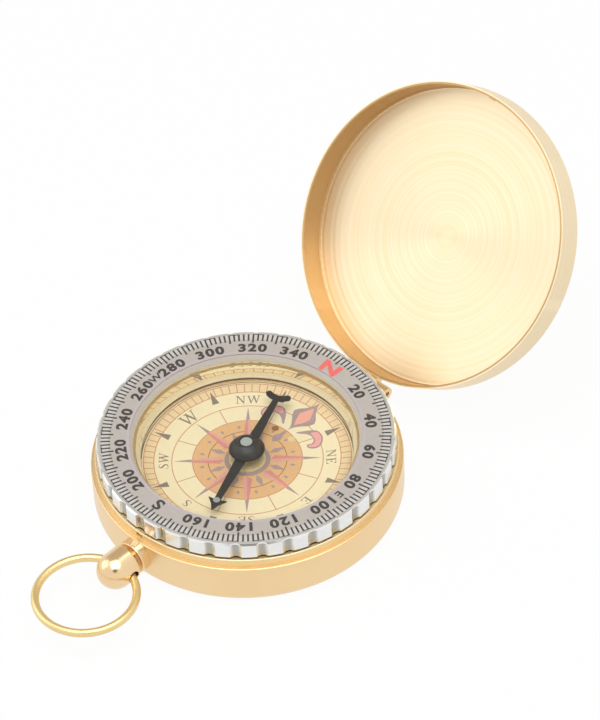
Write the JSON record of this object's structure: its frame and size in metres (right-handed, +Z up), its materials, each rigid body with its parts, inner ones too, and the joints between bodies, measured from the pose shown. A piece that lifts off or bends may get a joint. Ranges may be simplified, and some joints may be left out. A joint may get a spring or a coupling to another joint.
{
  "type": "pocket compass",
  "caption": "Round brass pocket compass with a hinged lid, turning degree bezel, free needle over a rose, and a push crown with a bow ring.",
  "frame": {"origin": "centre of the flat underside of the case", "axes": "+Z up through the dial, +Y towards the hinge, -Y towards the crown, X along the hinge pin"},
  "size_m": [0.05, 0.1081, 0.0446],
  "materials": {
    "satin_brass": "satin, turned and brushed",
    "polished_brass": "polished",
    "steel": "bright",
    "clear_plastic": "clear, polished",
    "polished_capsule": "mirror polished",
    "scale_print": "printed, glossy",
    "dial_print": "printed, matt",
    "black_plastic": "moulded",
    "dark_rubber": "matt",
    "needle_black": "gloss black",
    "jewel_glass": "polished",
    "lume_paint": "luminous paint"
  },
  "bodies": {
    "case": {"case_shell": "satin_brass", "case_hinge": "polished_brass", "hinge_pin": "steel", "pendant_tube": "polished_brass", "crown_spring": "steel", "spacer_ring": "black_plastic", "retaining_ring": "steel", "capsule_cup": "polished_capsule", "capsule_gasket": "dark_rubber", "capsule_rim": "polished_capsule", "crystal": "clear_plastic", "dial_card": "dial_print", "pivot_base": "polished_brass", "pivot_pin": "steel"},
    "lid": {"lid_shell": "satin_brass", "lid_catch": "satin_brass", "lid_hinge": "polished_brass"},
    "crown": {"crown": "polished_brass", "crown_screw": "steel", "latch_hook": "polished_brass"},
    "bow": {"bow_ring": "polished_brass"},
    "bezel": {"bezel_ring": "clear_plastic", "scale_ring": "scale_print"},
    "needle": {"needle_blade": "needle_black", "needle_hub": "needle_black", "jewel_bearing": "jewel_glass", "tail_dot": "lume_paint"}
  },
  "joints": [
    {"name": "lid_hinge", "type": "hinge", "parent": "case", "child": "lid", "pos_m": [0, 0.026, 0.006], "axis": [1, 0, 0], "range_deg": [0, 129]},
    {"name": "crown_push", "type": "slide", "parent": "case", "child": "crown", "axis": [0, 1, 0], "range_m": [0, 0.0007], "stiffness_N_per_m": 2000, "springref_m": -0.0005, "deforming": ["crown_spring"]},
    {"name": "bow_swing", "type": "hinge", "parent": "crown", "child": "bow", "pos_m": [0, -0.02875, 0.0044], "axis": [1, 0, 0], "range_deg": [-105, 105]},
    {"name": "bezel_turn", "type": "hinge", "parent": "case", "child": "bezel", "pos_m": [0, 0, 0.0105], "axis": [0, 0, 1], "continuous": true},
    {"name": "needle_turn", "type": "hinge", "parent": "case", "child": "needle", "pos_m": [0, 0, 0.009], "axis": [0, 0, 1], "continuous": true}
  ]
}
